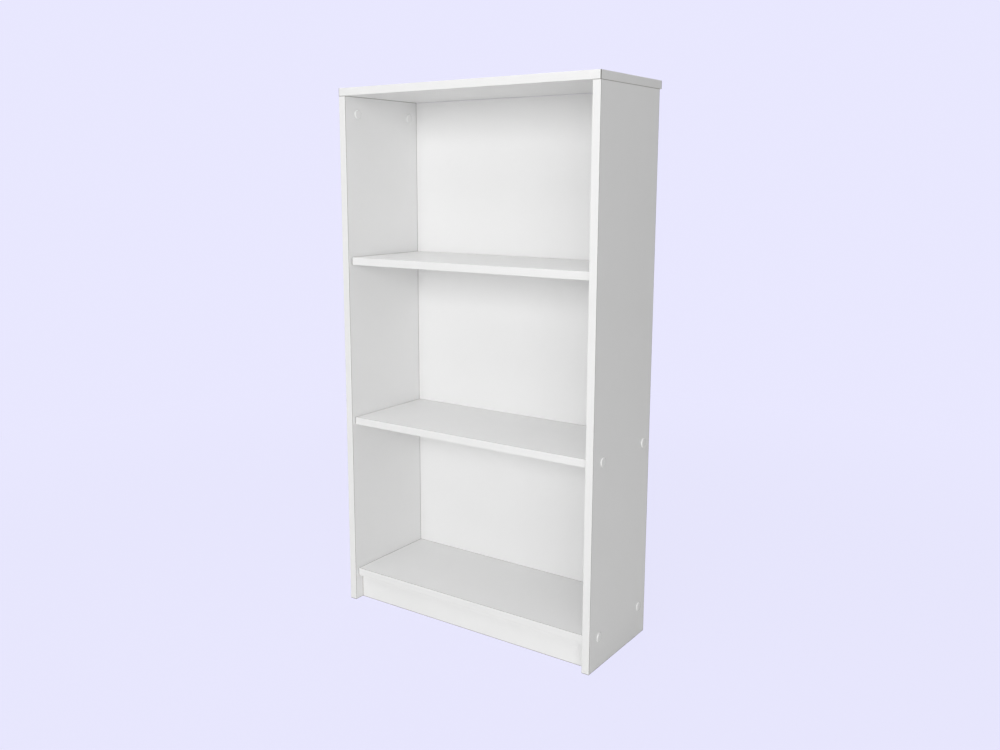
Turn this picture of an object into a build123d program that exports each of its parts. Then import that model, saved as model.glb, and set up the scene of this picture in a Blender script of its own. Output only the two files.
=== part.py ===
"""An open bookcase with three equal compartments, made of melamine-faced chipboard.

Millimetres. X runs across the front, the front faces -Y and Z is up. The origin is on the
floor, under the middle of the bookcase's box. Every board, edging strip, fastener and cap
is its own solid. Mirrored pieces are drawn on the left (-X) side first.
"""

from build123d import *
import os

os.makedirs("parts", exist_ok=True)

# ---------------------------------------------------------------- driving dimensions
HEIGHT = 1060.0
WIDTH = 580.0
BOARD = 15.0  # thickness of every chipboard panel
EDGING = 1.0  # thickness of a glued plastic edging strip
BACK_BOARD = 3.0  # thickness of the hardboard back
SIDE_DEPTH = 222.0
TOP_DEPTH = 230.0  # the top runs on over the back panel
PLINTH_HEIGHT = 52.0
SHELF_SETBACK = 10.0  # from the front of the sides
PLINTH_SETBACK = 22.0  # from the front of the sides
BAYS = 3

HOLE_STEP = 32.0  # the usual spacing of furniture holes
FASTENER_SETBACK = 37.0  # first fastener line, from the front of the sides
FASTENER_PITCH = 5 * HOLE_STEP
FIT = 0.1  # clearance, on the diameter, of a piece that drops into a hole

# ---------------------------------------------------------------- levels and lines
SIDE_HEIGHT = HEIGHT - BOARD
HALF_WIDTH = WIDTH / 2
HALF_INSIDE = HALF_WIDTH - BOARD
SIDE_MID_X = HALF_WIDTH - BOARD / 2
FRONT_Y = -TOP_DEPTH / 2
REAR_Y = TOP_DEPTH / 2
SIDE_REAR_Y = FRONT_Y + SIDE_DEPTH
SHELF_FRONT_Y = FRONT_Y + SHELF_SETBACK
PLINTH_FRONT_Y = FRONT_Y + PLINTH_SETBACK
PLINTH_MID_Y = PLINTH_FRONT_Y + BOARD / 2
PLINTH_MID_Z = PLINTH_HEIGHT / 2

BAY_HEIGHT = (SIDE_HEIGHT - PLINTH_HEIGHT - BAYS * BOARD) / BAYS
BOTTOM_SHELF_Z = PLINTH_HEIGHT
MIDDLE_SHELF_Z = BOTTOM_SHELF_Z + BOARD + BAY_HEIGHT
UPPER_SHELF_Z = MIDDLE_SHELF_Z + BOARD + BAY_HEIGHT
FIXED_SHELF_MIDS = (BOTTOM_SHELF_Z + BOARD / 2, MIDDLE_SHELF_Z + BOARD / 2)

FASTENER_YS = (FRONT_Y + FASTENER_SETBACK, FRONT_Y + FASTENER_SETBACK + FASTENER_PITCH)
TOP_DOWEL_YS = (FASTENER_YS[0] + HOLE_STEP, FASTENER_YS[1] - HOLE_STEP)
PIN_YS = (FASTENER_YS[0] + HOLE_STEP, FASTENER_YS[1])

# ---------------------------------------------------------------- cam locks and their bolts
CAM_DROP = 34.0  # from the top end of the side to the middle of the cam
CAM_Z = SIDE_HEIGHT - CAM_DROP
CAM_BORE = 15.0
CAM_BORE_DEPTH = 12.5
CAM_DIAMETER = 14.85
CAM_SUNK = 0.3  # below the face of the board
CAM_LENGTH = 11.9
CAM_HOLLOW_RADIUS = 6.2
CAM_HOLLOW_LENGTH = 7.4
CAM_SLOT_WIDTH = 5.2  # the bolt's neck passes along it as the cam turns
CAM_SLOT_OVERRUN = 22.0  # degrees of slot past the locked position
CAM_TURN = 180.0
CAM_MOUTH = 7.8  # the bolt's head goes in through it
CROSS_LENGTH = 8.0
CROSS_WIDTH = 2.0
CROSS_DEPTH = 2.4

BOLT_HOLE = 8.0
BOLT_THREAD = 6.0
BOLT_THREAD_CORE = 4.6
BOLT_THREAD_LENGTH = 11.0
BOLT_THREAD_PITCH = 2.2
BOLT_COLLAR = 7.6
BOLT_COLLAR_LENGTH = 3.0
BOLT_SHANK = 6.0
BOLT_NECK = 4.4
BOLT_NECK_TOP = 10.0  # above the middle of the cam
BOLT_HEAD = 7.0
BOLT_HEAD_TOP = 5.0  # above the middle of the cam
BOLT_HEAD_LENGTH = 3.0

# ---------------------------------------------------------------- screws, dowels, pins, nails
# A thread is drawn as rings. Along one pitch a ring starts, peaks and ends at these shares.
RING_START = 0.3
RING_PEAK = 0.6
RING_END = 0.9

SCREW_LENGTH = 50.0
SCREW_DIAMETER = 7.0
SCREW_CORE = 5.0
SCREW_HEAD = 10.0
SCREW_SHANK_LENGTH = 16.0
SCREW_TIP_LENGTH = 4.0
SCREW_PITCH = 3.0
SCREW_SUNK = 0.2
SOCKET = 4.0  # hexagon, across flats
SOCKET_DEPTH = 4.0

CAP_DIAMETER = 18.0
CAP_HEIGHT = 2.2
CAP_ROUND = 1.6
CAP_GAP = 0.1  # between a cam's cap, which turns, and the board
CAP_PEG = 2.0

DOWEL = 8.0
DOWEL_LENGTH = 30.0
DOWEL_IN_FACE = 11.0  # how much of it stands in the hole in a board's face
DOWEL_CHAMFER = 0.8
PLINTH_DOWEL_X = 160.0  # the two dowels between the plinth and the bottom shelf
HOLE_SPARE = 0.5  # empty depth past the end of a fastener

PIN_PEG = 5.0
PIN_PEG_LENGTH = 8.0
PIN_HEAD = 7.0
PIN_HEAD_LENGTH = 9.0
PIN_FLAT = 2.5  # from the pin's axis up to the flat that the shelf rests on
PIN_Z = UPPER_SHELF_Z - PIN_FLAT
LOOSE_SHELF_GAP = 1.0  # round the ends and the back of the upper shelf

NAIL = 1.4
NAIL_LENGTH = 20.0
NAIL_HEAD = 3.4
NAIL_HEAD_HEIGHT = 0.7
SIDE_NAILS = 8
SHELF_NAILS = 4
SHELF_NAIL_PITCH = 120.0
BACK_INSET = 2.0  # from the outside of the sides to the edge of the back panel
BACK_BOTTOM_Z = BOTTOM_SHELF_Z + BACK_INSET
BACK_TOP_Z = SIDE_HEIGHT - 1.0
NAIL_MARGIN = 22.0  # from the last nail to the end of the back panel
NAIL_MID_Z = (BACK_TOP_Z + BACK_BOTTOM_Z) / 2
SIDE_NAIL_PITCH = (BACK_TOP_Z - BACK_BOTTOM_Z - 2 * NAIL_MARGIN) / (SIDE_NAILS - 1)

EDGING_ROUND = 0.6

# ---------------------------------------------------------------- planes to drill from
# On the inside of the left panel a sketch point is (y, z); on the outside it is (-y, z).
LEFT_INSIDE = Plane(origin=(-HALF_INSIDE, 0, 0), x_dir=(0, 1, 0), z_dir=(1, 0, 0))
LEFT_OUTSIDE = Plane(origin=(-HALF_WIDTH, 0, 0), x_dir=(0, -1, 0), z_dir=(-1, 0, 0))
SIDE_TOP = Plane.XY.offset(SIDE_HEIGHT)
# Rear planes have their normal to the front, so a positive extrude goes into the board.
SIDE_REAR = Plane.XZ.offset(-SIDE_REAR_Y)
BACK_REAR = Plane.XZ.offset(-SIDE_REAR_Y - BACK_BOARD)


# ---------------------------------------------------------------- helpers
def save(piece, name):
    """Names a finished piece and writes it."""
    piece.part.label = name
    export_step(piece.part, f"parts/{name}.step")


def board(x_range, y_range, z_range):
    """A rectangular board, added to the piece that is being built."""
    x_mid = sum(x_range) / 2
    y_mid = sum(y_range) / 2
    with BuildSketch(Plane.XY.offset(z_range[0])) as outline:
        with Locations((x_mid, y_mid)):
            Rectangle(x_range[1] - x_range[0], y_range[1] - y_range[0])
    extrude(outline.sketch, amount=z_range[1] - z_range[0])


def drill(plane, points, diameter, depth):
    """Blind holes at points on a plane, cut against its normal."""
    with BuildSketch(plane) as mouths:
        with Locations(*points):
            Circle(diameter / 2)
    extrude(mouths.sketch, amount=-depth, mode=Mode.SUBTRACT)


def inward(side, x, y, z):
    """The plane at a point on the left (-1) or right (+1), with its normal to the middle."""
    return Plane(origin=(side * x, y, z), x_dir=(0, 1, 0), z_dir=(-side, 0, 0))


def inward_planes(x, ys, zs):
    """Inward planes at every depth and height, on both sides."""
    return [inward(side, x, y, z) for side in (-1, 1) for y in ys for z in zs]


def bore(plane, diameter, depth):
    """A blind hole at a plane's origin, cut along its normal."""
    with BuildSketch(plane) as mouth:
        Circle(diameter / 2)
    extrude(mouth.sketch, amount=depth, mode=Mode.SUBTRACT)


def ringed(core, crest, pitch, start, end):
    """Half-profile points of a screw thread drawn as rings, from start to end."""
    points = [(core, start)]
    for ring in range(int((end - start) / pitch)):
        points.append((core, start + (ring + RING_START) * pitch))
        points.append((crest, start + (ring + RING_PEAK) * pitch))
        points.append((core, start + (ring + RING_END) * pitch))
    points.append((core, end))
    return points


def turned(points):
    """Revolves a closed half-profile, given as (radius, height), about the Z axis."""
    with BuildSketch(Plane.XZ) as half_profile:
        with BuildLine():
            Polyline(*points, close=True)
        make_face()
    revolve(half_profile.sketch, axis=Axis.Z)


def evenly(count, pitch, middle):
    """Positions a pitch apart, centred on the middle."""
    return [middle + (step - (count - 1) / 2) * pitch for step in range(count)]


def nail_holes(plane, points, depth):
    """Holes for the nails, cut from a rear plane towards the front."""
    with BuildSketch(plane) as mouths:
        with Locations(*points):
            Circle((NAIL + FIT) / 2)
    extrude(mouths.sketch, amount=depth, mode=Mode.SUBTRACT)


# Nail positions as (x, z): up both sides, then along the two fixed shelves.
SIDE_NAIL_POINTS = [
    (side * SIDE_MID_X, z)
    for side in (-1, 1)
    for z in evenly(SIDE_NAILS, SIDE_NAIL_PITCH, NAIL_MID_Z)
]
SHELF_NAIL_XS = evenly(SHELF_NAILS, SHELF_NAIL_PITCH, 0)
SHELF_NAIL_POINTS = [(x, z) for z in FIXED_SHELF_MIDS for x in SHELF_NAIL_XS]
NAIL_POINTS = SIDE_NAIL_POINTS + SHELF_NAIL_POINTS

# ---------------------------------------------------------------- side panels
CAM_POINTS = [(y, CAM_Z) for y in FASTENER_YS]
PIN_POINTS = [(y, PIN_Z) for y in PIN_YS]
SCREW_POINTS = [(-y, z) for y in FASTENER_YS for z in FIXED_SHELF_MIDS]
LEFT_BOLT_POINTS = [(-SIDE_MID_X, y) for y in FASTENER_YS]
LEFT_DOWEL_POINTS = [(-SIDE_MID_X, y) for y in TOP_DOWEL_YS]
BOLT_POINTS = LEFT_BOLT_POINTS + [(-x, y) for x, y in LEFT_BOLT_POINTS]
DOWEL_POINTS = LEFT_DOWEL_POINTS + [(-x, y) for x, y in LEFT_DOWEL_POINTS]
END_DOWEL_DEPTH = DOWEL_LENGTH - DOWEL_IN_FACE + HOLE_SPARE
FACE_DOWEL_DEPTH = DOWEL_IN_FACE + HOLE_SPARE

with BuildPart() as left_side_panel:
    board((-HALF_WIDTH, -HALF_INSIDE), (FRONT_Y + EDGING, SIDE_REAR_Y), (0, SIDE_HEIGHT))
    with Locations(LEFT_OUTSIDE):
        with Locations(*SCREW_POINTS):
            CounterSinkHole(
                radius=(SCREW_DIAMETER + FIT) / 2,
                counter_sink_radius=SCREW_HEAD / 2 + SCREW_SUNK + FIT,
                depth=BOARD,
            )
    drill(LEFT_INSIDE, CAM_POINTS, CAM_BORE, CAM_BORE_DEPTH)
    drill(LEFT_INSIDE, PIN_POINTS, PIN_PEG + FIT, PIN_PEG_LENGTH + HOLE_SPARE)
    drill(LEFT_INSIDE, [(PLINTH_MID_Y, PLINTH_MID_Z)], DOWEL, FACE_DOWEL_DEPTH)
    drill(SIDE_TOP, LEFT_BOLT_POINTS, BOLT_HOLE, CAM_DROP)
    drill(SIDE_TOP, LEFT_DOWEL_POINTS, DOWEL, END_DOWEL_DEPTH)
    nail_holes(SIDE_REAR, SIDE_NAIL_POINTS[:SIDE_NAILS], NAIL_LENGTH)
save(left_side_panel, "left_side_panel")

with BuildPart() as right_side_panel:
    mirror(left_side_panel.part, about=Plane.YZ)
save(right_side_panel, "right_side_panel")

with BuildPart() as left_side_edging:
    board((-HALF_WIDTH, -HALF_INSIDE), (FRONT_Y, FRONT_Y + EDGING), (0, SIDE_HEIGHT))
    fillet(edges().filter_by(Axis.Z).group_by(Axis.Y)[0], EDGING_ROUND)
save(left_side_edging, "left_side_edging")

with BuildPart() as right_side_edging:
    mirror(left_side_edging.part, about=Plane.YZ)
save(right_side_edging, "right_side_edging")

# ---------------------------------------------------------------- top panel
TOP_X = HALF_WIDTH - EDGING
# On the underside a sketch point is (x, -y).
UNDERSIDE = Plane(origin=(0, 0, SIDE_HEIGHT), x_dir=(1, 0, 0), z_dir=(0, 0, -1))

with BuildPart() as top_panel:
    board((-TOP_X, TOP_X), (FRONT_Y + EDGING, REAR_Y), (SIDE_HEIGHT, HEIGHT))
    bolt_holes = [(x, -y) for x, y in BOLT_POINTS]
    dowel_holes = [(x, -y) for x, y in DOWEL_POINTS]
    drill(UNDERSIDE, bolt_holes, BOLT_THREAD + FIT, BOLT_THREAD_LENGTH + HOLE_SPARE)
    drill(UNDERSIDE, dowel_holes, DOWEL, FACE_DOWEL_DEPTH)
save(top_panel, "top_panel")

with BuildPart() as top_front_edging:
    board((-HALF_WIDTH, HALF_WIDTH), (FRONT_Y, FRONT_Y + EDGING), (SIDE_HEIGHT, HEIGHT))
    fillet(edges().filter_by(Axis.X).group_by(Axis.Y)[0], EDGING_ROUND)
save(top_front_edging, "top_front_edging")

with BuildPart() as top_left_edging:
    board((-HALF_WIDTH, -TOP_X), (FRONT_Y + EDGING, REAR_Y), (SIDE_HEIGHT, HEIGHT))
    fillet(edges().filter_by(Axis.Y).group_by(Axis.X)[0], EDGING_ROUND)
save(top_left_edging, "top_left_edging")

with BuildPart() as top_right_edging:
    mirror(top_left_edging.part, about=Plane.YZ)
save(top_right_edging, "top_right_edging")

# ---------------------------------------------------------------- shelves
LOOSE_HALF_LENGTH = HALF_INSIDE - LOOSE_SHELF_GAP
PLINTH_TOP_POINTS = [(side * PLINTH_DOWEL_X, PLINTH_MID_Y) for side in (-1, 1)]


def fixed_shelf(bottom_z):
    """A shelf with two screws into each end and the back panel nailed to its rear edge."""
    mid_z = bottom_z + BOARD / 2
    board(
        (-HALF_INSIDE, HALF_INSIDE),
        (SHELF_FRONT_Y + EDGING, SIDE_REAR_Y),
        (bottom_z, bottom_z + BOARD),
    )
    for end in inward_planes(HALF_INSIDE, FASTENER_YS, (mid_z,)):
        bore(end, SCREW_DIAMETER + FIT, SCREW_LENGTH - BOARD + SCREW_SUNK + HOLE_SPARE)
    nail_holes(SIDE_REAR, [(x, mid_z) for x in SHELF_NAIL_XS], NAIL_LENGTH)


def shelf_edging(half_length, bottom_z):
    """The rounded strip on a shelf's front edge."""
    board(
        (-half_length, half_length),
        (SHELF_FRONT_Y, SHELF_FRONT_Y + EDGING),
        (bottom_z, bottom_z + BOARD),
    )
    fillet(edges().filter_by(Axis.X).group_by(Axis.Y)[0], EDGING_ROUND)


with BuildPart() as middle_shelf:
    fixed_shelf(MIDDLE_SHELF_Z)
save(middle_shelf, "middle_shelf")

with BuildPart() as middle_shelf_edging:
    shelf_edging(HALF_INSIDE, MIDDLE_SHELF_Z)
save(middle_shelf_edging, "middle_shelf_edging")

with BuildPart() as bottom_shelf:
    fixed_shelf(BOTTOM_SHELF_Z)
    with BuildSketch(Plane.XY.offset(BOTTOM_SHELF_Z)):
        with Locations(*PLINTH_TOP_POINTS):
            Circle(DOWEL / 2)
    extrude(amount=FACE_DOWEL_DEPTH, mode=Mode.SUBTRACT)
save(bottom_shelf, "bottom_shelf")

with BuildPart() as bottom_shelf_edging:
    shelf_edging(HALF_INSIDE, BOTTOM_SHELF_Z)
save(bottom_shelf_edging, "bottom_shelf_edging")

with BuildPart() as upper_shelf:
    board(
        (-LOOSE_HALF_LENGTH, LOOSE_HALF_LENGTH),
        (SHELF_FRONT_Y + EDGING, SIDE_REAR_Y - LOOSE_SHELF_GAP),
        (UPPER_SHELF_Z, UPPER_SHELF_Z + BOARD),
    )
save(upper_shelf, "upper_shelf")

with BuildPart() as upper_shelf_edging:
    shelf_edging(LOOSE_HALF_LENGTH, UPPER_SHELF_Z)
save(upper_shelf_edging, "upper_shelf_edging")

# ---------------------------------------------------------------- plinth and back panel
with BuildPart() as plinth:
    board(
        (-HALF_INSIDE, HALF_INSIDE),
        (PLINTH_FRONT_Y, PLINTH_FRONT_Y + BOARD),
        (0, PLINTH_HEIGHT),
    )
    for end in inward_planes(HALF_INSIDE, (PLINTH_MID_Y,), (PLINTH_MID_Z,)):
        bore(end, DOWEL, END_DOWEL_DEPTH)
    drill(Plane.XY.offset(PLINTH_HEIGHT), PLINTH_TOP_POINTS, DOWEL, END_DOWEL_DEPTH)
save(plinth, "plinth")

with BuildPart() as back_panel:
    board(
        (-HALF_WIDTH + BACK_INSET, HALF_WIDTH - BACK_INSET),
        (SIDE_REAR_Y, SIDE_REAR_Y + BACK_BOARD),
        (BACK_BOTTOM_Z, BACK_TOP_Z),
    )
    nail_holes(BACK_REAR, NAIL_POINTS, BACK_BOARD)
save(back_panel, "back_panel")

# ---------------------------------------------------------------- nails
# A nail stands on its point at the origin with its domed head up, then is turned to Y.
with BuildPart() as nail:
    turned(
        [
            (0, 0),
            (NAIL / 2, NAIL),
            (NAIL / 2, NAIL_LENGTH - NAIL_HEAD_HEIGHT),
            (NAIL_HEAD / 2, NAIL_LENGTH - NAIL_HEAD_HEIGHT),
            (NAIL_HEAD / 2, NAIL_LENGTH - NAIL_HEAD_HEIGHT / 2),
            (NAIL_HEAD / 4, NAIL_LENGTH),
            (0, NAIL_LENGTH),
        ]
    )

NAIL_TIP_Y = SIDE_REAR_Y + BACK_BOARD - NAIL_LENGTH + NAIL_HEAD_HEIGHT
NAIL_PLANES = [
    Plane(origin=(x, NAIL_TIP_Y, z), x_dir=(1, 0, 0), z_dir=(0, 1, 0)) for x, z in NAIL_POINTS
]

with BuildPart() as back_panel_nails:
    with Locations(*NAIL_PLANES):
        add(nail.part)
save(back_panel_nails, "back_panel_nails")

# ---------------------------------------------------------------- confirmat screws
# A screw has the top of its head at the origin and runs along +Z.
SCREW_THREAD_END = SCREW_LENGTH - SCREW_TIP_LENGTH
HEAD_CONE = SCREW_HEAD / 2 - SCREW_DIAMETER / 2

with BuildPart() as screw:
    turned(
        [
            (0, 0),
            (SCREW_HEAD / 2, 0),
            (SCREW_DIAMETER / 2, HEAD_CONE),
            (SCREW_DIAMETER / 2, SCREW_SHANK_LENGTH),
        ]
        + ringed(
            SCREW_CORE / 2,
            SCREW_DIAMETER / 2,
            SCREW_PITCH,
            SCREW_SHANK_LENGTH,
            SCREW_THREAD_END,
        )
        + [(SCREW_CORE / 4, SCREW_LENGTH), (0, SCREW_LENGTH)]
    )
    with BuildSketch(Plane.XY):
        RegularPolygon(radius=SOCKET / 2, side_count=6, major_radius=False)
    extrude(amount=SOCKET_DEPTH, mode=Mode.SUBTRACT)

with BuildPart() as confirmat_screws:
    with Locations(*inward_planes(HALF_WIDTH - SCREW_SUNK, FASTENER_YS, FIXED_SHELF_MIDS)):
        add(screw.part)
save(confirmat_screws, "confirmat_screws")

# A cap has its rim on the origin's plane, its dome towards -Z and its peg along +Z.
with BuildPart() as screw_cap:
    with BuildSketch(Plane.XY):
        Circle(CAP_DIAMETER / 2)
    extrude(amount=-CAP_HEIGHT)
    fillet(edges().group_by(Axis.Z)[0], CAP_ROUND)
    with BuildSketch(Plane.XY):
        RegularPolygon(radius=(SOCKET - FIT) / 2, side_count=6, major_radius=False)
    extrude(amount=CAP_PEG)

with BuildPart() as screw_cover_caps:
    with Locations(*inward_planes(HALF_WIDTH, FASTENER_YS, FIXED_SHELF_MIDS)):
        add(screw_cap.part)
save(screw_cover_caps, "screw_cover_caps")


# ---------------------------------------------------------------- cam locks
# A cam is drawn with its face on the origin's plane and the board's depth along +Z, locked:
# the bolt's neck is at +Y, the top of the slot. The slot runs round by +X, the front of the
# bookcase, to the mouth at -Y, where the bolt's head goes in once the cam is turned back.
NECK_ANGLE = 90.0
SLOT_START = NECK_ANGLE - CAM_TURN
SLOT_ARC = CAM_TURN + CAM_SLOT_OVERRUN


def driver_cross(length, width):
    """Two crossed bars, the shape of the driver recess, as a sketch."""
    with BuildSketch(mode=Mode.PRIVATE) as bars:
        Rectangle(length, width)
        Rectangle(width, length)
    return bars.sketch


with BuildPart() as cam:
    with BuildSketch(Plane.XY.offset(CAM_SUNK)):
        Circle(CAM_DIAMETER / 2)
    extrude(amount=CAM_LENGTH)
    with BuildSketch(Plane.XY.offset((BOARD - CAM_HOLLOW_LENGTH) / 2)):
        Circle(CAM_HOLLOW_RADIUS)
    extrude(amount=CAM_HOLLOW_LENGTH, mode=Mode.SUBTRACT)
    with BuildSketch(Plane.XY.offset((BOARD - CAM_SLOT_WIDTH) / 2)):
        with BuildLine():
            rim = CenterArc((0, 0), CAM_DIAMETER, SLOT_START, SLOT_ARC)
            Line((0, 0), rim @ 0)
            Line(rim @ 1, (0, 0))
        make_face()
    extrude(amount=CAM_SLOT_WIDTH, mode=Mode.SUBTRACT)
    with BuildSketch(Plane.XZ):
        with Locations((0, BOARD / 2)):
            Circle(CAM_MOUTH / 2)
    extrude(amount=CAM_DIAMETER, mode=Mode.SUBTRACT)
    with BuildSketch(Plane.XY.offset(CAM_SUNK)):
        add(driver_cross(CROSS_LENGTH, CROSS_WIDTH))
    extrude(amount=CROSS_DEPTH, mode=Mode.SUBTRACT)

with BuildPart() as cam_cap:
    with BuildSketch(Plane.XY.offset(-CAP_GAP)):
        Circle(CAP_DIAMETER / 2)
    extrude(amount=-CAP_HEIGHT)
    fillet(edges().group_by(Axis.Z)[0], CAP_ROUND)
    with BuildSketch(Plane.XY.offset(-CAP_GAP)):
        add(driver_cross(CROSS_LENGTH - FIT, CROSS_WIDTH - FIT))
    extrude(amount=CAP_GAP + CAM_SUNK + CAP_PEG)

for place, cam_y in zip(("front", "rear"), FASTENER_YS):
    into_board = Plane(
        origin=(-HALF_INSIDE, cam_y, CAM_Z), x_dir=(0, -1, 0), z_dir=(-1, 0, 0)
    )
    for master, kind in ((cam, "cam_lock"), (cam_cap, "cam_cap")):
        with BuildPart() as left_piece:
            with Locations(into_board):
                add(master.part)
        save(left_piece, f"{kind}_left_{place}")
        with BuildPart() as right_piece:
            mirror(left_piece.part, about=Plane.YZ)
        save(right_piece, f"{kind}_right_{place}")

# ---------------------------------------------------------------- cam bolts
# A bolt is drawn with its head down and the top panel's underside at the origin.
HEAD_TOP_Z = BOLT_HEAD_TOP - CAM_DROP
NECK_TOP_Z = BOLT_NECK_TOP - CAM_DROP

with BuildPart() as bolt:
    turned(
        [
            (0, HEAD_TOP_Z - BOLT_HEAD_LENGTH),
            (BOLT_HEAD / 2, HEAD_TOP_Z - BOLT_HEAD_LENGTH),
            (BOLT_HEAD / 2, HEAD_TOP_Z),
            (BOLT_NECK / 2, HEAD_TOP_Z),
            (BOLT_NECK / 2, NECK_TOP_Z),
            (BOLT_SHANK / 2, NECK_TOP_Z),
            (BOLT_SHANK / 2, -BOLT_COLLAR_LENGTH),
            (BOLT_COLLAR / 2, -BOLT_COLLAR_LENGTH),
            (BOLT_COLLAR / 2, 0),
        ]
        + ringed(BOLT_THREAD_CORE / 2, BOLT_THREAD / 2, BOLT_THREAD_PITCH, 0, BOLT_THREAD_LENGTH)
        + [(0, BOLT_THREAD_LENGTH)]
    )

with BuildPart() as cam_bolts:
    with Locations(*[(x, y, SIDE_HEIGHT) for x, y in BOLT_POINTS]):
        add(bolt.part)
save(cam_bolts, "cam_bolts")

# ---------------------------------------------------------------- dowels
# A dowel stands on the origin's plane.
with BuildPart() as dowel:
    with BuildSketch(Plane.XY):
        Circle((DOWEL - FIT) / 2)
    extrude(amount=DOWEL_LENGTH)
    chamfer(edges().filter_by(GeomType.CIRCLE), DOWEL_CHAMFER)

SIDE_TOP_DOWEL_Z = SIDE_HEIGHT + DOWEL_IN_FACE - DOWEL_LENGTH
PLINTH_TOP_DOWEL_Z = PLINTH_HEIGHT + DOWEL_IN_FACE - DOWEL_LENGTH

with BuildPart() as top_dowels:
    with Locations(*[(x, y, SIDE_TOP_DOWEL_Z) for x, y in DOWEL_POINTS]):
        add(dowel.part)
save(top_dowels, "top_dowels")

with BuildPart() as plinth_end_dowels:
    with Locations(
        *inward_planes(HALF_INSIDE + DOWEL_IN_FACE, (PLINTH_MID_Y,), (PLINTH_MID_Z,))
    ):
        add(dowel.part)
save(plinth_end_dowels, "plinth_end_dowels")

with BuildPart() as plinth_top_dowels:
    with Locations(*[(x, y, PLINTH_TOP_DOWEL_Z) for x, y in PLINTH_TOP_POINTS]):
        add(dowel.part)
save(plinth_top_dowels, "plinth_top_dowels")

# ---------------------------------------------------------------- shelf pins
# A pin lies along +Z with its shoulder at the origin and its flat at +Y, which is up once
# it is in a hole in the left side.
with BuildPart() as shelf_pin:
    with BuildSketch(Plane.XY):
        Circle(PIN_PEG / 2)
    extrude(amount=-PIN_PEG_LENGTH)
    with BuildSketch(Plane.XY):
        Circle(PIN_HEAD / 2)
    extrude(amount=PIN_HEAD_LENGTH)
    with BuildSketch(Plane.XY):
        with Locations((0, PIN_HEAD / 2 + PIN_FLAT)):
            Rectangle(PIN_HEAD, PIN_HEAD)
    extrude(amount=PIN_HEAD_LENGTH, mode=Mode.SUBTRACT)

LEFT_PIN_PLANES = inward_planes(HALF_INSIDE, PIN_YS, (PIN_Z,))[: len(PIN_YS)]

with BuildPart() as shelf_pins:
    with Locations(*LEFT_PIN_PLANES):
        add(shelf_pin.part)
    mirror(about=Plane.YZ)
save(shelf_pins, "shelf_pins")
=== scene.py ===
"""Looks for the open bookcase: white foil on chipboard, plastic edging and caps, a raw back.

Metres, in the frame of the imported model: X across the front, -Y the open front, Z up.
Every CAD piece keeps its mesh and gets a material made of nodes, placed by the piece's box.
"""

import math

import bpy
from mathutils import Matrix, Vector


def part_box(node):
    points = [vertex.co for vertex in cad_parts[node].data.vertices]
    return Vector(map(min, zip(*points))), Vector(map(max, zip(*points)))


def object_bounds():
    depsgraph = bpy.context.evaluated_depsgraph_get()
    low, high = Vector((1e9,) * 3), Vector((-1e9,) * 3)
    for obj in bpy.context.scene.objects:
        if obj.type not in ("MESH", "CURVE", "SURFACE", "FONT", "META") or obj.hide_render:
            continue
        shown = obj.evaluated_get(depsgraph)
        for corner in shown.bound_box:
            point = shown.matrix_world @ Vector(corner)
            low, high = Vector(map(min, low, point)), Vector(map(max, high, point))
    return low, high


MM = 0.001
X, Y, Z = range(3)

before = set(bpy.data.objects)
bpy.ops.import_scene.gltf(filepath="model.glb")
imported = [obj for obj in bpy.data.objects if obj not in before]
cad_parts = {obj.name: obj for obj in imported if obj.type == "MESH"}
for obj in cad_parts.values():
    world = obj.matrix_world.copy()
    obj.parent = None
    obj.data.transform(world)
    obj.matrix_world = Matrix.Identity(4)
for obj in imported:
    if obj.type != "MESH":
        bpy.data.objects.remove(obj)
cad_lo, cad_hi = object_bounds()
centre = (cad_lo + cad_hi) / 2
scene = bpy.context.scene
scene.view_settings.view_transform = "Standard"


# ------------------------------------------------------------------ camera
CAMERA_FROM_FRONT = Vector((1.0755, -1.4483, 0.8819))  # from the foot of the front, mid width
CAMERA_YAW, CAMERA_PITCH, CAMERA_ROLL = 35.348, -9.980, 0.006  # degrees
SENSOR_WIDTH = 36.0
FOCAL_SHARE = 0.97493  # focal length over sensor width
SHIFT = (0.0205, -0.023)


def make_camera():
    """The camera stands to the right of the bookcase's front, a little above its middle."""
    data = bpy.data.cameras.new("camera")
    data.sensor_width = SENSOR_WIDTH
    data.lens = SENSOR_WIDTH * FOCAL_SHARE
    data.shift_x, data.shift_y = SHIFT
    data.clip_start, data.clip_end = 0.05, 200.0
    camera = bpy.data.objects.new("camera", data)
    scene.collection.objects.link(camera)
    turn = (
        Matrix.Rotation(math.radians(CAMERA_YAW), 4, "Z")
        @ Matrix.Rotation(math.radians(CAMERA_PITCH), 4, "X")
        @ Matrix.Rotation(math.radians(CAMERA_ROLL), 4, "Y")
        @ Matrix.Rotation(math.radians(90.0), 4, "X")
    )
    foot = Vector((centre.x, cad_lo.y, cad_lo.z))
    camera.matrix_world = Matrix.Translation(foot + CAMERA_FROM_FRONT) @ turn
    scene.camera = camera


make_camera()


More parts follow.
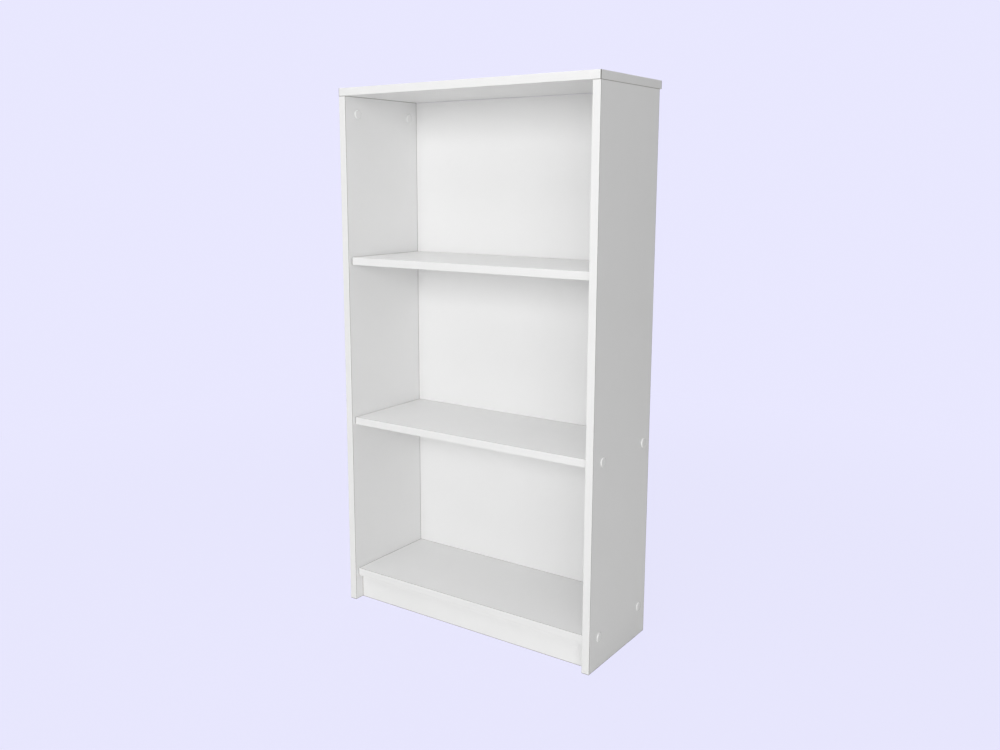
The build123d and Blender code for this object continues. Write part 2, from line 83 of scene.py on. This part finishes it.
# ------------------------------------------------------------------ node helpers
class Tree:
    """A material's node tree. Its methods add one node each and return the node's output."""

    def __init__(self, name):
        self.material = bpy.data.materials.new(name)
        self.material.use_nodes = True
        self.nodes = self.material.node_tree.nodes
        self.links = self.material.node_tree.links
        self.nodes.clear()
        output = self.nodes.new("ShaderNodeOutputMaterial")
        self.surface = self.nodes.new("ShaderNodeBsdfPrincipled")
        self.links.new(self.surface.outputs[0], output.inputs["Surface"])
        coordinates = self.nodes.new("ShaderNodeTexCoord")
        self.place = coordinates.outputs["Object"]
        self.along = self.split(self.place)
        self.normal = self.split(coordinates.outputs["Normal"])

    def link(self, value, socket):
        """Sets a socket to a number or a colour, or links another node's output to it."""
        if hasattr(value, "is_output"):
            self.links.new(value, socket)
        elif hasattr(value, "__len__") and len(value) == 3 and socket.type == "RGBA":
            socket.default_value = (*value, 1.0)
        else:
            socket.default_value = value

    def split(self, vector):
        node = self.nodes.new("ShaderNodeSeparateXYZ")
        self.links.new(vector, node.inputs[0])
        return node.outputs

    def stretched(self, scale):
        """The piece's own coordinates, scaled along each axis."""
        node = self.nodes.new("ShaderNodeMapping")
        self.links.new(self.place, node.inputs["Vector"])
        node.inputs["Scale"].default_value = scale
        return node.outputs["Vector"]

    def noise(self, scale, detail=2.0, roughness=0.5, distortion=0.0):
        """Noise with scale patches to the metre, or one such number for each axis."""
        node = self.nodes.new("ShaderNodeTexNoise")
        uneven = hasattr(scale, "__len__")
        self.links.new(self.stretched(scale) if uneven else self.place, node.inputs["Vector"])
        node.inputs["Scale"].default_value = 1.0 if uneven else scale
        node.inputs["Detail"].default_value = detail
        node.inputs["Roughness"].default_value = roughness
        node.inputs["Distortion"].default_value = distortion
        return node.outputs["Fac"]

    def cells(self, scale, feature="F1", output="Color"):
        """Voronoi cells, scale to the metre along each axis."""
        node = self.nodes.new("ShaderNodeTexVoronoi")
        node.feature = feature
        self.links.new(self.stretched(scale), node.inputs["Vector"])
        node.inputs["Scale"].default_value = 1.0
        return node.outputs[output]

    def ramp(self, value, *stops):
        """Colours or greys along a value: each stop is (position, colour)."""
        node = self.nodes.new("ShaderNodeValToRGB")
        self.link(value, node.inputs["Fac"])
        elements = node.color_ramp.elements
        elements.remove(elements[1])
        for index, (position, colour) in enumerate(stops):
            element = elements[0] if index == 0 else elements.new(position)
            element.position = position
            element.color = (*colour, 1.0)
        return node.outputs["Color"]

    def span(self, value, start, end, low=0.0, high=1.0):
        """A value between start and end, eased to between low and high."""
        node = self.nodes.new("ShaderNodeMapRange")
        node.interpolation_type = "SMOOTHSTEP"
        self.link(value, node.inputs["Value"])
        for name, bound in zip(
            ("From Min", "From Max", "To Min", "To Max"), (start, end, low, high)
        ):
            self.link(bound, node.inputs[name])
        return node.outputs["Result"]

    def math(self, operation, *values):
        node = self.nodes.new("ShaderNodeMath")
        node.operation = operation
        for value, socket in zip(values, node.inputs):
            self.link(value, socket)
        return node.outputs["Value"]

    def mix(self, share, first, second):
        """A colour between two colours."""
        node = self.nodes.new("ShaderNodeMix")
        node.data_type = "RGBA"
        self.link(share, node.inputs["Factor"])
        colours = [socket for socket in node.inputs if socket.type == "RGBA"]
        self.link(first, colours[0])
        self.link(second, colours[1])
        return next(socket for socket in node.outputs if socket.type == "RGBA")

    def between(self, share, first, second):
        """A number between two numbers."""
        node = self.nodes.new("ShaderNodeMix")
        self.link(share, node.inputs["Factor"])
        self.link(first, node.inputs["A"])
        self.link(second, node.inputs["B"])
        return node.outputs["Result"]

    def mix_normals(self, share, first, second):
        """A normal between two normals."""
        node = self.nodes.new("ShaderNodeMix")
        node.data_type = "VECTOR"
        self.link(share, node.inputs["Factor"])
        vectors = [socket for socket in node.inputs if socket.type == "VECTOR"]
        self.link(first, vectors[-2])
        self.link(second, vectors[-1])
        return next(socket for socket in node.outputs if socket.type == "VECTOR")

    def bump(self, height, distance, below=None):
        """A normal from a height of 0 to 1, which stands for a distance in metres."""
        node = self.nodes.new("ShaderNodeBump")
        self.link(distance, node.inputs["Distance"])
        self.link(height, node.inputs["Height"])
        if below is not None:
            self.links.new(below, node.inputs["Normal"])
        return node.outputs["Normal"]

    def facing(self, axis):
        """1 where the face looks along an axis, either way."""
        return self.math("GREATER_THAN", self.math("ABSOLUTE", self.normal[axis]), 0.6)

    def depth(self, node, axis):
        """How far a point is inside the nearer of the two ends of a CAD node's box."""
        lo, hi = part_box(node)
        offset = self.math("SUBTRACT", self.along[axis], (lo[axis] + hi[axis]) / 2)
        return self.math("SUBTRACT", (hi[axis] - lo[axis]) / 2, self.math("ABSOLUTE", offset))

    def finish(self, **values):
        """Sets the shader's sockets by name and returns the material."""
        for name, value in values.items():
            self.link(value, self.surface.inputs[name.replace("_", " ").title()])
        return self.material


# ------------------------------------------------------------------ boards
FOIL_WHITE = (0.862, 0.862, 0.862)
FOIL_THICKNESS = 0.15 * MM
DUST_LAYER = 3.2 * MM  # the fine outer layers of chipboard, over its coarse middle
CHIP_LENGTH, CHIP_THICKNESS = 6.0 * MM, 1.3 * MM
GRIT = 0.75 * MM
GLUE_AND_SHADE_WIDTH = 1.3 * MM  # the thin dark line of glue, dust and shadow along a joint


def chipboard(tree, node, axis):
    """Colour and height of a sawn edge: flat chips in the middle, packed dust to the faces."""
    per_chip = [1 / CHIP_LENGTH] * 3
    per_chip[axis] = 1 / CHIP_THICKNESS
    chip = tree.split(tree.cells(per_chip))
    seam = tree.cells(per_chip, "DISTANCE_TO_EDGE", "Distance")
    grain = tree.noise([4 * scale for scale in per_chip], 3.0)
    wood = tree.ramp(
        tree.math("MULTIPLY_ADD", grain, 0.25, tree.math("MULTIPLY", chip[0], 0.75)),
        (0.05, (0.17, 0.10, 0.055)), (0.2, (0.36, 0.235, 0.13)),
        (0.55, (0.50, 0.35, 0.21)), (0.9, (0.62, 0.46, 0.30)),
    )
    wood = tree.mix(tree.span(seam, 0.0, 0.12, 0.75, 0.0), wood, (0.13, 0.08, 0.045))
    grit = tree.split(tree.cells([1 / GRIT] * 3))
    dust = tree.ramp(
        tree.math("MULTIPLY_ADD", grit[0], 0.6, tree.math("MULTIPLY", tree.noise(90, 3.0), 0.4)),
        (0.1, (0.33, 0.22, 0.125)), (0.5, (0.50, 0.37, 0.235)), (0.9, (0.60, 0.465, 0.32)),
    )
    inside = tree.depth(node, axis)
    core = tree.span(
        tree.math("MULTIPLY_ADD", tree.noise(160, 2.0), 2.0 * MM, inside),
        DUST_LAYER, DUST_LAYER + 1.6 * MM,
    )
    colour = tree.mix(core, dust, wood)
    colour = tree.mix(tree.math("LESS_THAN", inside, FOIL_THICKNESS), colour, FOIL_WHITE)
    height = tree.between(core, tree.math("MULTIPLY", grit[1], 0.35), chip[1])
    return colour, height


def rim_shade_and_nicks(tree, node, axis, white):
    """Painted shade with glue and dust in a thin dark line at the edges of a face, and brown where
    the saw has nicked the foil there.
    """
    others = [other for other in (X, Y, Z) if other != axis]
    rim = tree.math("MINIMUM", *(tree.depth(node, other) for other in others))
    nicks = tree.span(tree.noise(420, 3.0, 0.65), 0.5, 0.75, 0.12 * MM, 0.55 * MM)
    # painted shade where the face meets the next part, with glue and dust; the brown nicks below are
    # real
    white = glue_and_shade_line(tree, rim, white, 0.8)
    return tree.mix(tree.math("LESS_THAN", rim, nicks), white, (0.30, 0.21, 0.13))


def glue_and_shade_line(tree, inside, colour, strength):
    """Darkens a colour in a thin line where the distance to the joint falls to nothing: glue and
    dust, and painted shade of the joint's gap.
    """
    # painted shade in the joint, with the glue and dust there: near black towards the joint
    share = tree.span(inside, 0.3 * GLUE_AND_SHADE_WIDTH, GLUE_AND_SHADE_WIDTH, strength, 0.0)
    return tree.mix(share, colour, (0.10, 0.095, 0.085))


def foil_height(tree):
    """The fine pebbled press grain of the foil."""
    pebble = tree.cells([1 / (0.55 * MM)] * 3, "F1", "Distance")
    fine = tree.noise(2600, 2.0)
    return tree.math("MULTIPLY_ADD", pebble, 0.7, tree.math("MULTIPLY", fine, 0.3))


def melamine_board(node, axis):
    """White foil on the two faces square to an axis, and sawn chipboard everywhere else."""
    tree = Tree(node + "_foil_on_chipboard")
    at_face = tree.math("LESS_THAN", tree.depth(node, axis), 0.05 * MM)
    foil = tree.math("MULTIPLY", tree.facing(axis), at_face)
    raw, chips = chipboard(tree, node, axis)
    cloud = tree.math(
        "MULTIPLY_ADD", tree.noise(9, 3.0), 0.5, tree.math("MULTIPLY", tree.noise(320, 4.0, 0.6), 0.5)
    )
    white = tree.ramp(cloud, (0.3, (0.852, 0.852, 0.850)), (0.7, (0.870, 0.870, 0.870)))
    # painted shade along the face's edges at the joints, with real brown saw nicks
    white = rim_shade_and_nicks(tree, node, axis, white)
    rubbed = tree.noise(34, 4.0, 0.6, 0.4)
    waves = tree.bump(tree.noise(70, 2.0), 0.10 * MM)
    pebbled = tree.bump(foil_height(tree), 0.016 * MM, waves)
    rough_wood = tree.bump(chips, 0.35 * MM)
    return tree.finish(
        base_color=tree.mix(foil, raw, white),
        roughness=tree.between(foil, 0.93, tree.span(rubbed, 0.3, 0.7, 0.36, 0.46)),
        normal=tree.mix_normals(foil, rough_wood, pebbled),
    )


# ------------------------------------------------------------------ edging
def edging_strip(node, run):
    """White plastic strip extruded along an axis. Its corners are scraped round and buffed, and
    coloured a brighter white as a painted highlight; its ends carry glue and painted shade.
    """
    tree = Tree(node + "_plastic")
    turned = [tree.math("ABSOLUTE", tree.normal[axis]) for axis in (X, Y, Z)]
    flat = tree.math("MAXIMUM", turned[X], tree.math("MAXIMUM", turned[Y], turned[Z]))
    round_corner = tree.span(flat, 0.90, 0.985, 1.0, 0.0)
    drawn = [900.0] * 3
    drawn[run] = 9.0
    streaks = tree.noise(drawn, 3.0, 0.6)
    chatter = [260.0] * 3
    chatter[run] = 620.0
    tone = tree.math("MULTIPLY_ADD", streaks, 0.6, tree.math("MULTIPLY", tree.noise(40, 3.0), 0.4))
    white = tree.ramp(tone, (0.3, (0.822, 0.822, 0.820)), (0.7, (0.842, 0.842, 0.841)))
    # painted highlight: the rounded corners are coloured a brighter white
    white = tree.mix(tree.math("MULTIPLY", round_corner, 0.8), white, (0.93, 0.93, 0.93))
    # painted shade with glue at the strip's ends, where it meets the next part
    white = glue_and_shade_line(tree, tree.depth(node, run), white, 0.9)
    pebble = tree.cells([1 / (0.8 * MM)] * 3, "F1", "Distance")
    surface = tree.math("MULTIPLY_ADD", streaks, 0.4, tree.math("MULTIPLY", pebble, 0.6))
    height = tree.between(round_corner, surface, tree.noise(chatter, 2.0))
    return tree.finish(
        base_color=white,
        roughness=tree.between(round_corner, tree.span(streaks, 0.3, 0.7, 0.30, 0.38), 0.22),
        normal=tree.bump(height, 0.018 * MM),
    )


# ------------------------------------------------------------------ hardboard
SCREEN_PITCH = 1.9 * MM  # the wire screen that the wet fibre was pressed on


def hardboard_panel(node):
    """Lacquered white in front, bare brown fibre with the press screen's print behind."""
    tree = Tree(node + "_hardboard")
    front = tree.math("LESS_THAN", tree.normal[Y], -0.6)
    rear = tree.math("GREATER_THAN", tree.normal[Y], 0.6)
    fibres = [
        tree.noise(scale, 4.0, 0.65, 0.6)
        for scale in ((900.0, 300.0, 90.0), (90.0, 300.0, 900.0), (420.0, 300.0, 420.0))
    ]
    fibre = tree.math("MAXIMUM", fibres[0], tree.math("MAXIMUM", fibres[1], fibres[2]))
    brown = tree.ramp(
        fibre, (0.42, (0.155, 0.088, 0.045)), (0.55, (0.245, 0.148, 0.080)),
        (0.68, (0.335, 0.215, 0.125)), (0.85, (0.45, 0.315, 0.20)),
    )
    patches = tree.span(tree.noise(5, 4.0, 0.6), 0.35, 0.7)
    brown = tree.mix(tree.math("MULTIPLY", patches, 0.35), brown, (0.20, 0.115, 0.06))
    turns = 2 * math.pi / SCREEN_PITCH
    wires = [
        tree.math("SINE", tree.math("MULTIPLY", tree.along[axis], turns)) for axis in (X, Z)
    ]
    print_depth = tree.math("MULTIPLY_ADD", tree.math("MAXIMUM", *wires), 0.5, 0.5)
    brown = tree.mix(tree.math("MULTIPLY", print_depth, 0.25), brown, (0.12, 0.068, 0.036))
    lacquer_tone = tree.math(
        "MULTIPLY_ADD", tree.noise(11, 3.0), 0.5, tree.math("MULTIPLY", tree.noise(500, 3.0), 0.5)
    )
    white = tree.ramp(lacquer_tone, (0.3, (0.856, 0.856, 0.855)), (0.7, (0.868, 0.868, 0.868)))
    peel = tree.cells([1 / (1.6 * MM)] * 3, "F1", "Distance")
    rear_height = tree.math("MULTIPLY_ADD", fibre, 0.6, tree.math("MULTIPLY", print_depth, -0.6))
    height = tree.between(rear, tree.math("MULTIPLY", peel, 0.08), rear_height)
    return tree.finish(
        base_color=tree.mix(front, brown, white),
        roughness=tree.between(front, 0.92, tree.span(tree.noise(45, 3.0), 0.3, 0.7, 0.40, 0.48)),
        normal=tree.bump(height, 0.28 * MM),
    )


# ------------------------------------------------------------------ fittings
CAP_RADIUS = 9.0 * MM


def from_axis(tree, node, radius):
    """How far a point is from the X-wards axis of its round piece.

    The node holds one piece, or a row or a rectangle of equal ones, whose outermost axes are
    a radius inside its box.
    """
    lo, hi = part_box(node)
    offsets = []
    for axis in (Y, Z):
        middle = tree.math("SUBTRACT", tree.along[axis], (lo[axis] + hi[axis]) / 2)
        reach = (hi[axis] - lo[axis]) / 2 - radius
        offsets.append(tree.math("SUBTRACT", tree.math("ABSOLUTE", middle), reach))
    squares = [tree.math("POWER", offset, 2.0) for offset in offsets]
    return tree.math("SQRT", tree.math("ADD", *squares))


def plastic_cap(node):
    """A moulded white cap: faint flow rings round the gate mark in its middle."""
    tree = Tree(node + "_plastic")
    radius = from_axis(tree, node, CAP_RADIUS)
    gate = tree.span(radius, 0.55 * MM, 0.95 * MM, 1.0, 0.0)
    rings = tree.math("SINE", tree.math("MULTIPLY", radius, 2 * math.pi / (1.7 * MM)))
    mottle = tree.noise(750, 3.0)
    tone = tree.math("MULTIPLY_ADD", rings, 0.08, mottle)
    white = tree.ramp(tone, (0.3, (0.862, 0.862, 0.858)), (0.7, (0.878, 0.878, 0.875)))
    height = tree.math("MULTIPLY_ADD", rings, 0.03, tree.math("MULTIPLY", mottle, 0.12))
    height = tree.math("MULTIPLY_ADD", gate, 0.8, height)
    return tree.finish(
        base_color=white,
        roughness=tree.span(mottle, 0.3, 0.7, 0.14, 0.22),
        normal=tree.bump(height, 0.12 * MM),
    )


def metal(name, dark, bright, roughness, pit, grain):
    """Cast or plated metal: two tones in patches, small pits, and a fine grain."""
    tree = Tree(name)
    patches = tree.noise(grain, 4.0, 0.6)
    pits = tree.cells([1 / pit] * 3, "F1", "Distance")
    worn = tree.span(pits, 0.12, 0.4)
    tone = tree.math("MULTIPLY", patches, worn)
    return tree.finish(
        base_color=tree.ramp(tone, (0.25, dark), (0.65, bright)),
        metallic=1.0,
        roughness=tree.span(patches, 0.3, 0.7, roughness[1], roughness[0]),
        normal=tree.bump(tone, 0.05 * MM),
    )


def beech_dowel(node, run):
    """Beech with its grain along the dowel and the short dark flecks that beech has."""
    tree = Tree(node + "_beech")
    with_grain = [900.0] * 3
    with_grain[run] = 45.0
    fleck_scale = [1300.0] * 3
    fleck_scale[run] = 420.0
    streaks = tree.noise(with_grain, 4.0, 0.6)
    flecks = tree.span(tree.noise(fleck_scale, 2.0), 0.62, 0.72)
    wood = tree.ramp(
        streaks, (0.3, (0.46, 0.30, 0.17)), (0.5, (0.58, 0.40, 0.245)), (0.75, (0.67, 0.49, 0.32))
    )
    return tree.finish(
        base_color=tree.mix(tree.math("MULTIPLY", flecks, 0.6), wood, (0.33, 0.19, 0.10)),
        roughness=tree.span(streaks, 0.3, 0.7, 0.72, 0.6),
        normal=tree.bump(streaks, 0.06 * MM),
    )


# ------------------------------------------------------------------ what each piece wears
BOARD_AXES = {
    "left_side_panel": X, "right_side_panel": X, "plinth": Y,
    "top_panel": Z, "upper_shelf": Z, "middle_shelf": Z, "bottom_shelf": Z,
}
EDGING_RUNS = {
    "left_side_edging": Z, "right_side_edging": Z, "top_left_edging": Y, "top_right_edging": Y,
    "top_front_edging": X, "upper_shelf_edging": X, "middle_shelf_edging": X,
    "bottom_shelf_edging": X,
}
DOWEL_RUNS = {"top_dowels": Z, "plinth_end_dowels": X, "plinth_top_dowels": Z}
ZINC = metal("zinc_casting", (0.33, 0.34, 0.35), (0.60, 0.61, 0.62), (0.42, 0.60), 0.9 * MM, 350)
PLATE = metal("zinc_plate", (0.50, 0.50, 0.52), (0.76, 0.76, 0.77), (0.24, 0.38), 0.6 * MM, 240)
NAIL = metal("nail_wire", (0.26, 0.25, 0.25), (0.55, 0.55, 0.55), (0.34, 0.52), 0.5 * MM, 500)


def material_for(node):
    if node in BOARD_AXES:
        return melamine_board(node, BOARD_AXES[node])
    if node in EDGING_RUNS:
        return edging_strip(node, EDGING_RUNS[node])
    if node in DOWEL_RUNS:
        return beech_dowel(node, DOWEL_RUNS[node])
    if node == "back_panel":
        return hardboard_panel(node)
    if "cap" in node:
        return plastic_cap(node)
    if node.startswith("cam_lock"):
        return ZINC
    return NAIL if "nails" in node else PLATE


for node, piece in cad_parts.items():
    piece.data.materials.clear()
    piece.data.materials.append(material_for(node))


# ------------------------------------------------------------------ floor, world and lights
LILAC = (0.811, 0.803, 0.995)
FLOOR_RADIUS = 7.0
FLOOR_BOUNCE = 0.75
FLOOR_SHADE = 0.06  # how much of a shadow shows on the floor
SHADE_REACH = (0.9, 2.2)  # metres from the bookcase, where the floor's shading fades out
FILL = 0.30


def studio_floor():
    """A pale floor of the background's colour. It reflects white light onto the bookcase."""
    bpy.ops.mesh.primitive_circle_add(
        vertices=96, radius=FLOOR_RADIUS, fill_type="NGON", location=(0, 0, cad_lo.z)
    )
    floor = bpy.context.object
    floor.name = "floor"
    material = bpy.data.materials.new("studio_floor")
    material.use_nodes = True
    nodes, links = material.node_tree.nodes, material.node_tree.links
    nodes.clear()
    output = nodes.new("ShaderNodeOutputMaterial")
    glow = nodes.new("ShaderNodeEmission")
    glow.inputs["Color"].default_value = (*LILAC, 1.0)
    lit = nodes.new("ShaderNodeBsdfDiffuse")
    lit.inputs["Color"].default_value = (*LILAC, 1.0)
    bounce = nodes.new("ShaderNodeBsdfDiffuse")
    bounce.inputs["Color"].default_value = (*(FLOOR_BOUNCE,) * 3, 1.0)
    coordinates = nodes.new("ShaderNodeTexCoord")
    length = nodes.new("ShaderNodeVectorMath")
    length.operation = "LENGTH"
    links.new(coordinates.outputs["Object"], length.inputs[0])
    fade = nodes.new("ShaderNodeMapRange")
    fade.interpolation_type = "SMOOTHSTEP"
    for name, value in zip(
        ("From Min", "From Max", "To Min", "To Max"), (*SHADE_REACH, FLOOR_SHADE, 0.0)
    ):
        fade.inputs[name].default_value = value
    links.new(length.outputs["Value"], fade.inputs["Value"])
    seen = nodes.new("ShaderNodeMixShader")
    links.new(fade.outputs["Result"], seen.inputs["Fac"])
    links.new(glow.outputs[0], seen.inputs[1])
    links.new(lit.outputs[0], seen.inputs[2])
    path = nodes.new("ShaderNodeLightPath")
    mix = nodes.new("ShaderNodeMixShader")
    links.new(path.outputs["Is Camera Ray"], mix.inputs["Fac"])
    links.new(bounce.outputs[0], mix.inputs[1])
    links.new(seen.outputs[0], mix.inputs[2])
    links.new(mix.outputs[0], output.inputs["Surface"])
    floor.data.materials.append(material)


def studio_world():
    """A plain lilac background that lights the bookcase with an even white."""
    world = bpy.data.worlds.new("studio")
    scene.world = world
    world.use_nodes = True
    nodes, links = world.node_tree.nodes, world.node_tree.links
    nodes.clear()
    output = nodes.new("ShaderNodeOutputWorld")
    seen = nodes.new("ShaderNodeBackground")
    seen.inputs["Color"].default_value = (*LILAC, 1.0)
    fill = nodes.new("ShaderNodeBackground")
    fill.inputs["Color"].default_value = (1.0, 1.0, 1.0, 1.0)
    fill.inputs["Strength"].default_value = FILL
    path = nodes.new("ShaderNodeLightPath")
    mix = nodes.new("ShaderNodeMixShader")
    links.new(path.outputs["Is Camera Ray"], mix.inputs["Fac"])
    links.new(fill.outputs[0], mix.inputs[1])
    links.new(seen.outputs[0], mix.inputs[2])
    links.new(mix.outputs[0], output.inputs["Surface"])


def softbox(name, place, width, height, power):
    """A soft rectangular light, aimed at the middle of the bookcase."""
    data = bpy.data.lights.new(name, "AREA")
    data.shape = "RECTANGLE"
    data.size, data.size_y = width, height
    data.energy = power
    light = bpy.data.objects.new(name, data)
    scene.collection.objects.link(light)
    place = Vector(place)
    aim = (centre - place).to_track_quat("-Z", "Y").to_matrix().to_4x4()
    light.matrix_world = Matrix.Translation(place) @ aim


studio_floor()
studio_world()
softbox("front_softbox", (0.6, -5.5, 1.9), 3.0, 2.4, 110)
softbox("right_softbox", (3.2, -3.8, 1.3), 2.4, 2.4, 54)
softbox("overhead_softbox", (0.0, -0.8, 3.2), 3.0, 3.0, 38)
softbox("rear_softbox", (-2.2, 3.0, 1.8), 2.4, 2.4, 36)
